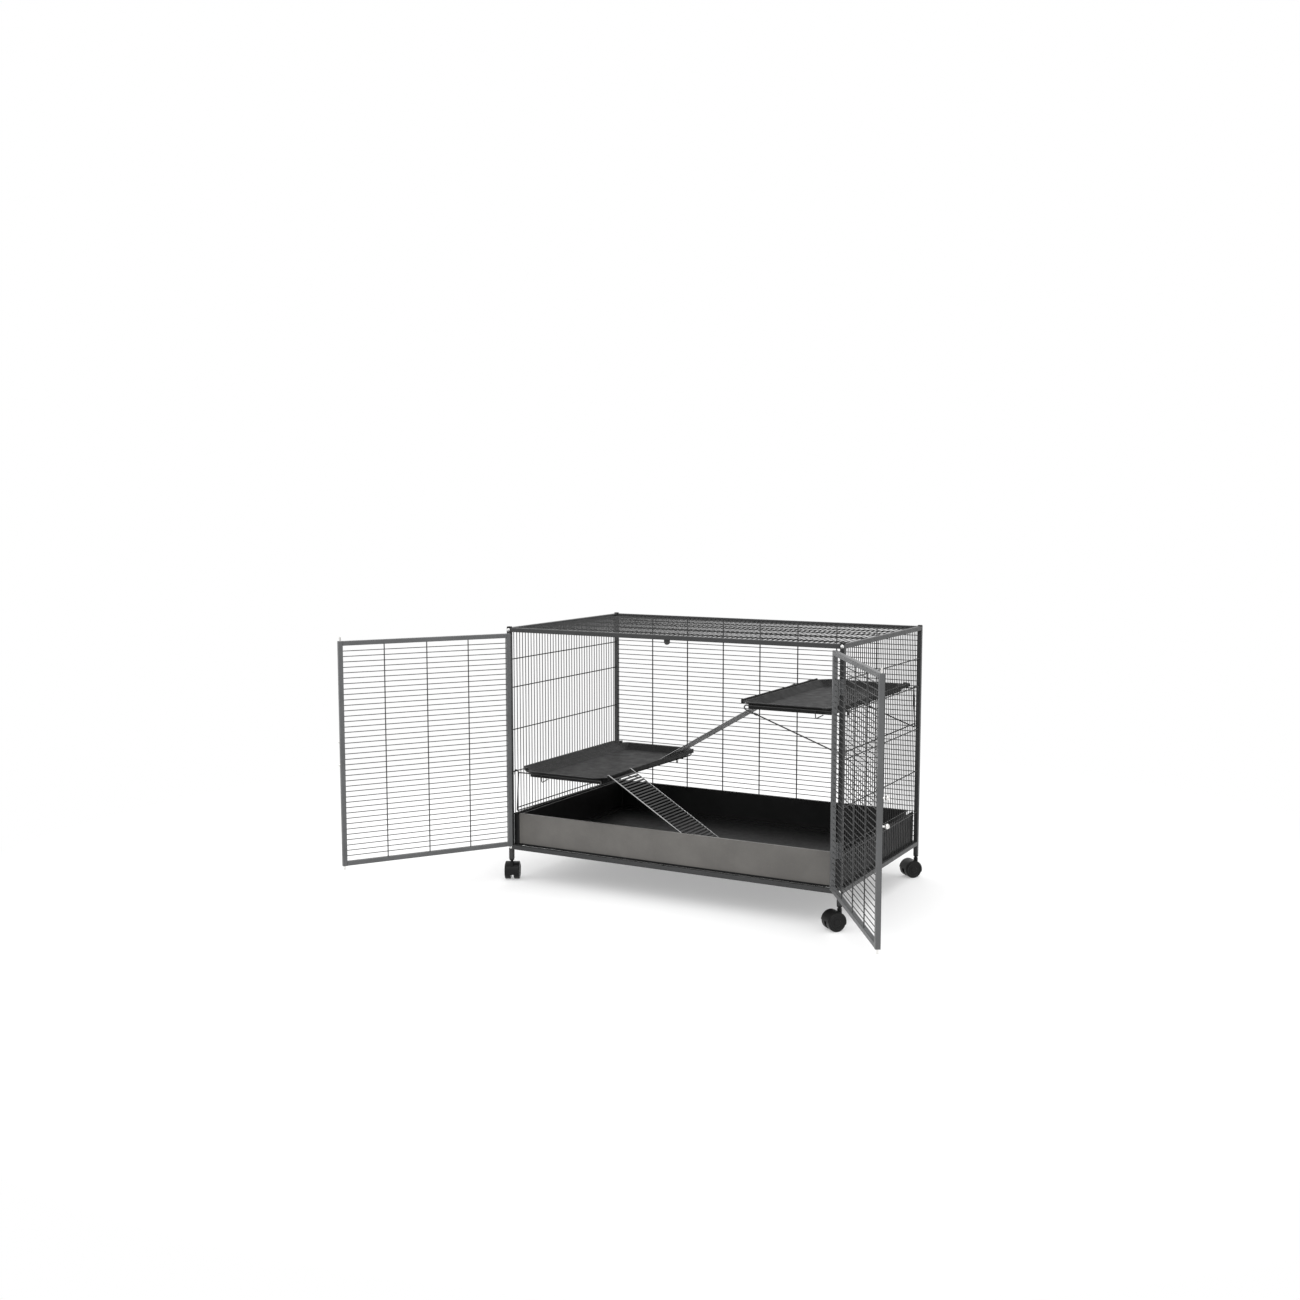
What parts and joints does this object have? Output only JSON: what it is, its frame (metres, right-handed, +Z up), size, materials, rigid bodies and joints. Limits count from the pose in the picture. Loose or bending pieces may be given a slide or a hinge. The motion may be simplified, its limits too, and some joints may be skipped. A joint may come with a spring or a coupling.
{
  "type": "ferret cage",
  "caption": "Wide wire pet cage on casters with two open barred doors, a pull-out tray, two shelves and two ramps.",
  "frame": {"origin": "on the floor under the middle of the cage's rectangular frame, without its open doors", "axes": "+X to the right along the cage's long side, +Y from the door side to the back, +Z up"},
  "size_m": [1.5242, 1.0616, 0.721],
  "materials": {
    "frame_paint": "dark grey hammered paint, satin",
    "grille_paint": "dark grey paint, satin",
    "door_paint": "grey hammered paint, satin",
    "hinge_paint": "grey paint, satin",
    "cap_plastic": "moulded, matt",
    "bolt_steel": "zinc plated, bright",
    "latch_steel": "plated, bright",
    "guide_paint": "black paint, satin",
    "tray_plastic": "moulded, finely grained",
    "tray_front_paint": "grey paint, satin",
    "shelf_plastic": "moulded, finely grained",
    "bracket_wire": "dark paint, satin",
    "ramp_metal": "dark slats between bright side wires",
    "caster_plastic": "moulded, matt",
    "wheel_plastic": "moulded, satin"
  },
  "bodies": {
    "cage": {"post_front_left": "frame_paint", "post_front_right": "frame_paint", "post_back_left": "frame_paint", "post_back_right": "frame_paint", "front_top_rail": "frame_paint", "front_bottom_rail": "frame_paint", "back_top_rail": "frame_paint", "back_bottom_rail": "frame_paint", "left_top_rail": "frame_paint", "left_bottom_rail": "frame_paint", "right_top_rail": "frame_paint", "right_bottom_rail": "frame_paint", "post_caps": "cap_plastic", "frame_bolts": "bolt_steel", "door_stop": "frame_paint", "frame_hinge_leaves": "hinge_paint", "left_grille_wires": "grille_paint", "left_grille_cross_wires": "grille_paint", "right_grille_wires": "grille_paint", "right_grille_cross_wires": "grille_paint", "back_grille_wires": "grille_paint", "back_grille_cross_wires": "grille_paint", "roof_grille_wires": "grille_paint", "roof_grille_cross_wires": "grille_paint", "left_tray_guide": "guide_paint", "right_tray_guide": "guide_paint", "left_shelf": "shelf_plastic", "right_shelf": "shelf_plastic", "left_brackets": "bracket_wire", "right_brackets": "bracket_wire"},
    "left_door": {"left_door_hinge_stile": "door_paint", "left_door_free_stile": "door_paint", "left_door_top_rail": "door_paint", "left_door_bottom_rail": "door_paint", "left_door_wires": "door_paint", "left_door_uprights": "door_paint", "left_door_hinge_leaves": "hinge_paint"},
    "right_door": {"right_door_hinge_stile": "door_paint", "right_door_free_stile": "door_paint", "right_door_top_rail": "door_paint", "right_door_bottom_rail": "door_paint", "right_door_wires": "door_paint", "right_door_uprights": "door_paint", "right_door_hinge_leaves": "hinge_paint"},
    "left_upper_bolt": {"left_door_upper_bolt": "latch_steel"},
    "left_lower_bolt": {"left_door_lower_bolt": "latch_steel"},
    "right_upper_bolt": {"right_door_upper_bolt": "latch_steel"},
    "right_lower_bolt": {"right_door_lower_bolt": "latch_steel"},
    "tray": {"tray_pan": "tray_plastic", "tray_front": "tray_front_paint"},
    "front_left_caster": {"caster_front_left_hood": "caster_plastic"},
    "front_left_wheels": {"caster_front_left_wheels": "wheel_plastic"},
    "front_right_caster": {"caster_front_right_hood": "caster_plastic"},
    "front_right_wheels": {"caster_front_right_wheels": "wheel_plastic"},
    "back_left_caster": {"caster_back_left_hood": "caster_plastic"},
    "back_left_wheels": {"caster_back_left_wheels": "wheel_plastic"},
    "back_right_caster": {"caster_back_right_hood": "caster_plastic"},
    "back_right_wheels": {"caster_back_right_wheels": "wheel_plastic"},
    "lower_ramp": {"lower_ramp": "ramp_metal"},
    "upper_ramp": {"upper_ramp": "ramp_metal"}
  },
  "joints": [
    {"name": "left_door_hinge", "type": "hinge", "parent": "cage", "child": "left_door", "pos_m": [-0.488, -0.307, 0.404], "axis": [0, 0, -1], "range_deg": [-121.5, 57]},
    {"name": "right_door_hinge", "type": "hinge", "parent": "cage", "child": "right_door", "pos_m": [0.488, -0.307, 0.404], "axis": [0, 0, 1], "range_deg": [-122, 56.5]},
    {"name": "left_upper_bolt_slide", "type": "slide", "parent": "left_door", "child": "left_upper_bolt", "axis": [0, 0, -1], "range_m": [0, 0.011], "stiffness_N_per_m": 300, "springref_m": -0.01},
    {"name": "left_lower_bolt_slide", "type": "slide", "parent": "left_door", "child": "left_lower_bolt", "axis": [0, 0, 1], "range_m": [0, 0.011], "stiffness_N_per_m": 300, "springref_m": -0.01},
    {"name": "right_upper_bolt_slide", "type": "slide", "parent": "right_door", "child": "right_upper_bolt", "axis": [0, 0, -1], "range_m": [0, 0.011], "stiffness_N_per_m": 300, "springref_m": -0.01},
    {"name": "right_lower_bolt_slide", "type": "slide", "parent": "right_door", "child": "right_lower_bolt", "axis": [0, 0, 1], "range_m": [0, 0.011], "stiffness_N_per_m": 300, "springref_m": -0.01},
    {"name": "tray_slide", "type": "slide", "parent": "cage", "child": "tray", "axis": [0, -1, 0], "range_m": [0, 0.385]},
    {"name": "front_left_swivel", "type": "hinge", "parent": "cage", "child": "front_left_caster", "pos_m": [-0.494, -0.296, 0.062], "axis": [0, 0, 1], "continuous": true},
    {"name": "front_left_axle", "type": "hinge", "parent": "front_left_caster", "child": "front_left_wheels", "pos_m": [-0.50126, -0.28174, 0.024], "axis": [-0.891, -0.454, 0], "continuous": true},
    {"name": "front_right_swivel", "type": "hinge", "parent": "cage", "child": "front_right_caster", "pos_m": [0.494, -0.296, 0.062], "axis": [0, 0, 1], "continuous": true},
    {"name": "front_right_axle", "type": "hinge", "parent": "front_right_caster", "child": "front_right_wheels", "pos_m": [0.4835, -0.30807, 0.024], "axis": [0.7547, -0.6561, 0], "continuous": true},
    {"name": "back_left_swivel", "type": "hinge", "parent": "cage", "child": "back_left_caster", "pos_m": [-0.494, 0.296, 0.062], "axis": [0, 0, 1], "continuous": true},
    {"name": "back_left_axle", "type": "hinge", "parent": "back_left_caster", "child": "back_left_wheels", "pos_m": [-0.50626, 0.30628, 0.024], "axis": [-0.6428, -0.766, 0], "continuous": true},
    {"name": "back_right_swivel", "type": "hinge", "parent": "cage", "child": "back_right_caster", "pos_m": [0.494, 0.296, 0.062], "axis": [0, 0, 1], "continuous": true},
    {"name": "back_right_axle", "type": "hinge", "parent": "back_right_caster", "child": "back_right_wheels", "pos_m": [0.48309, 0.2843, 0.024], "axis": [0.7314, -0.682, 0], "continuous": true},
    {"name": "lower_ramp_hinge", "type": "hinge", "parent": "cage", "child": "lower_ramp", "pos_m": [-0.2015, -0.1915, 0.315], "axis": [0, -1, 0], "range_deg": [0, 56]},
    {"name": "upper_ramp_hinge", "type": "hinge", "parent": "cage", "child": "upper_ramp", "pos_m": [0.2015, 0.15, 0.555], "axis": [0, 1, 0], "range_deg": [0, 42]}
  ]
}
